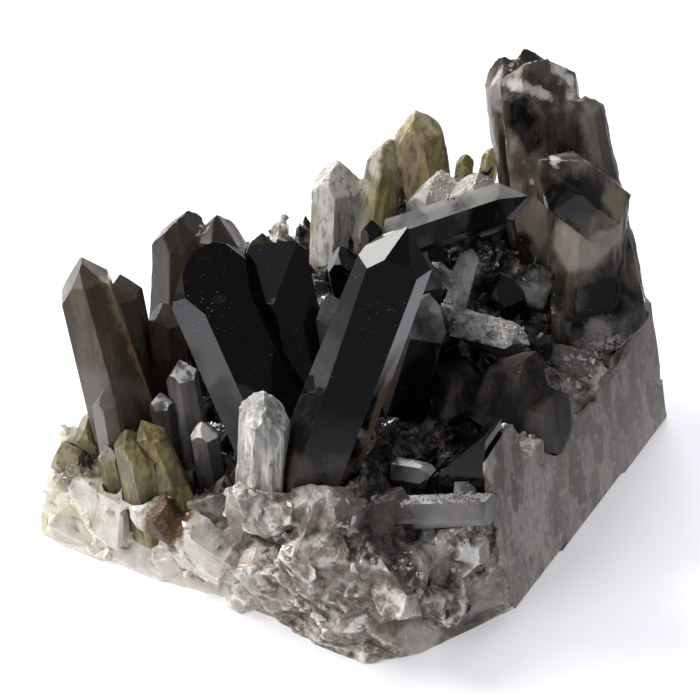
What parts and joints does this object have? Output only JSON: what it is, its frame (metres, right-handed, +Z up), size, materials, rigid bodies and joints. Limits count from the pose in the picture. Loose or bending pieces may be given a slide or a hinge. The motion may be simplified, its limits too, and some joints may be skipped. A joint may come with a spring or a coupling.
{
  "type": "morion quartz cluster",
  "caption": "Natural cluster of near-black smoky quartz crystals standing and lying on a sawn block of milky quartz, resting on its flat cut base.",
  "frame": {"origin": "middle of the footprint, on the flat cut underside", "axes": "+Z up, +X towards the sawn side, -Y towards the broken front that is seen first"},
  "size_m": [0.1402, 0.145, 0.12],
  "materials": {
    "morion": "polished",
    "smoky": "satin",
    "olive": "satin",
    "milky_crystal": "matte",
    "milky_rock": "rough"
  },
  "bodies": {
    "root": {"crystal_front": "morion", "crystals_centre": "morion", "crystal_left": "morion", "crystal_left_foot": "morion", "crystals_between": "morion", "crystal_between_low": "morion", "crystals_behind_left": "morion", "crystals_middle": "morion", "crystals_middle_thin": "morion", "crystal_lying": "morion", "crystal_under_lying": "morion", "crystals_shelf": "morion", "crystal_behind_shelf": "morion", "crystals_hollow": "morion", "crystal_peak": "morion", "crystals_back_left": "smoky", "crystals_ledge": "smoky", "crystal_ledge_prism": "smoky", "crystal_ledge_brown": "smoky", "crystals_back_right": "smoky", "crystals_front_left": "olive", "crystal_left_edge": "olive", "crystal_left_corner": "olive", "crystals_back": "olive", "crystals_back_thin": "olive", "crystal_milky": "milky_crystal", "matrix": "milky_rock"}
  },
  "joints": []
}
